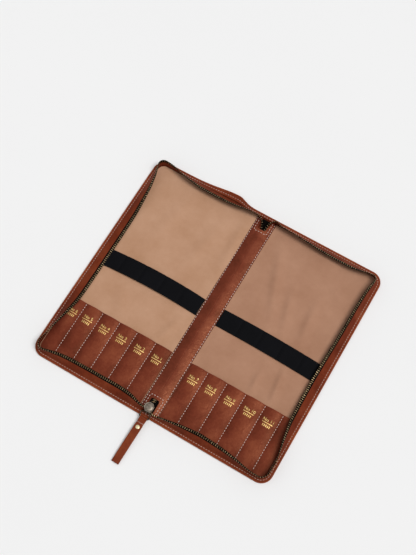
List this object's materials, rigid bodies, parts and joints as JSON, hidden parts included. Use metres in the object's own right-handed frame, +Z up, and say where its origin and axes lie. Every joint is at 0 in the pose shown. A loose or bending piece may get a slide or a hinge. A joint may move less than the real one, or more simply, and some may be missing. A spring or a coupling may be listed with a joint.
{
  "type": "zip-around knitting needle case",
  "caption": "Zip-around leather case that opens flat like a book, with stitched pockets and an elastic band in each half to hold straight knitting needles.",
  "frame": {"origin": "underside of the spine, halfway along it, on the surface the open case lies on", "axes": "+Y along the spine to the back end, away from the pull tab; +X across to the right cover; +Z up"},
  "size_m": [0.435, 0.4847, 0.0205],
  "materials": {
    "chestnut_leather": "glazed, lightly grained",
    "grey_board": "plain board",
    "tan_twill": "cotton twill",
    "black_elastic": "woven elastic",
    "pale_thread": "waxed thread",
    "antique_brass_zip": "darkened",
    "antique_nickel": "nickel plated and darkened",
    "pale_brass": "polished"
  },
  "bodies": {
    "spine": {"spine_leather": "chestnut_leather", "spine_inner_strip": "chestnut_leather", "front_edge_band": "chestnut_leather", "back_edge_band": "chestnut_leather", "spine_stiffener": "grey_board", "front_left_zip_tail": "antique_brass_zip", "front_right_zip_tail": "antique_brass_zip", "back_left_zip_tail": "antique_brass_zip", "back_right_zip_tail": "antique_brass_zip"},
    "left_cover": {"left_cover_leather": "chestnut_leather", "left_cover_board": "grey_board", "left_gusset_flange": "chestnut_leather", "left_lining": "tan_twill", "left_pocket_panel": "chestnut_leather", "left_elastic_band": "black_elastic", "left_pocket_seam_1": "pale_thread", "left_pocket_seam_2": "pale_thread", "left_pocket_seam_3": "pale_thread", "left_pocket_seam_4": "pale_thread", "left_pocket_seam_5": "pale_thread", "left_front_corner_gusset": "chestnut_leather", "left_front_corner_zip": "antique_brass_zip", "left_back_corner_gusset": "chestnut_leather", "left_back_corner_zip": "antique_brass_zip"},
    "left_side_wall": {"left_side_gusset": "chestnut_leather", "left_side_zip": "antique_brass_zip"},
    "left_front_wall": {"left_front_gusset": "chestnut_leather", "left_front_zip": "antique_brass_zip"},
    "left_back_wall": {"left_back_gusset": "chestnut_leather", "left_back_zip": "antique_brass_zip"},
    "right_cover": {"right_cover_leather": "chestnut_leather", "right_cover_board": "grey_board", "right_gusset_flange": "chestnut_leather", "right_lining": "tan_twill", "right_pocket_panel": "chestnut_leather", "right_elastic_band": "black_elastic", "right_pocket_seam_1": "pale_thread", "right_pocket_seam_2": "pale_thread", "right_pocket_seam_3": "pale_thread", "right_pocket_seam_4": "pale_thread", "right_pocket_seam_5": "pale_thread", "right_front_corner_gusset": "chestnut_leather", "right_front_corner_zip": "antique_brass_zip", "right_back_corner_gusset": "chestnut_leather", "right_back_corner_zip": "antique_brass_zip"},
    "right_side_wall": {"right_side_gusset": "chestnut_leather", "right_side_zip": "antique_brass_zip"},
    "right_front_wall": {"right_front_gusset": "chestnut_leather", "right_front_zip": "antique_brass_zip"},
    "right_back_wall": {"right_back_gusset": "chestnut_leather", "right_back_zip": "antique_brass_zip"},
    "slider": {"zip_slider": "antique_nickel", "slider_lug": "antique_nickel", "slider_plate": "antique_nickel"},
    "ring": {"pull_ring": "antique_brass_zip"},
    "tab": {"pull_tab": "chestnut_leather", "tab_rivet": "pale_brass"}
  },
  "joints": [
    {"name": "left_fold", "type": "hinge", "parent": "spine", "child": "left_cover", "pos_m": [-0.0185, 0, 0.0035], "axis": [0, 1, 0], "range_deg": [0, 90]},
    {"name": "left_side_wall_rise", "type": "hinge", "parent": "left_cover", "child": "left_side_wall", "pos_m": [-0.2105, 0, 0.0043], "axis": [0, -1, 0], "range_deg": [0, 80]},
    {"name": "left_front_wall_rise", "type": "hinge", "parent": "left_cover", "child": "left_front_wall", "pos_m": [-0.1095, -0.193, 0.0043], "axis": [1, 0, 0], "range_deg": [0, 57]},
    {"name": "left_back_wall_rise", "type": "hinge", "parent": "left_cover", "child": "left_back_wall", "pos_m": [-0.1095, 0.193, 0.0043], "axis": [-1, 0, 0], "range_deg": [0, 30]},
    {"name": "right_fold", "type": "hinge", "parent": "spine", "child": "right_cover", "pos_m": [0.0185, 0, 0.0035], "axis": [0, -1, 0], "range_deg": [0, 90]},
    {"name": "right_side_wall_rise", "type": "hinge", "parent": "right_cover", "child": "right_side_wall", "pos_m": [0.2105, 0, 0.0043], "axis": [0, 1, 0], "range_deg": [0, 62]},
    {"name": "right_front_wall_rise", "type": "hinge", "parent": "right_cover", "child": "right_front_wall", "pos_m": [0.1095, -0.193, 0.0043], "axis": [1, 0, 0], "range_deg": [0, 45]},
    {"name": "right_back_wall_rise", "type": "hinge", "parent": "right_cover", "child": "right_back_wall", "pos_m": [0.1095, 0.193, 0.0043], "axis": [-1, 0, 0], "range_deg": [0, 38]},
    {"name": "slider_travel", "type": "slide", "parent": "spine", "child": "slider", "axis": [0, 1, 0], "range_m": [0, 0.008]},
    {"name": "ring_swing", "type": "hinge", "parent": "slider", "child": "ring", "pos_m": [-0.0015, -0.1938, 0.0102], "axis": [-1, 0, 0], "range_deg": [0, 105]},
    {"name": "tab_swing", "type": "hinge", "parent": "ring", "child": "tab", "pos_m": [-0.0015, -0.2035, 0.0065], "axis": [-1, 0, 0], "range_deg": [0, 80]}
  ],
  "couplings": [
    {"joint": "left_side_wall_rise", "follows": "left_fold", "ratio": 0.88888},
    {"joint": "left_front_wall_rise", "follows": "left_fold", "ratio": 0.63332},
    {"joint": "left_back_wall_rise", "follows": "left_fold", "ratio": 0.33332},
    {"joint": "right_side_wall_rise", "follows": "right_fold", "ratio": 0.68888},
    {"joint": "right_front_wall_rise", "follows": "right_fold", "ratio": 0.49999},
    {"joint": "right_back_wall_rise", "follows": "right_fold", "ratio": 0.42221}
  ]
}
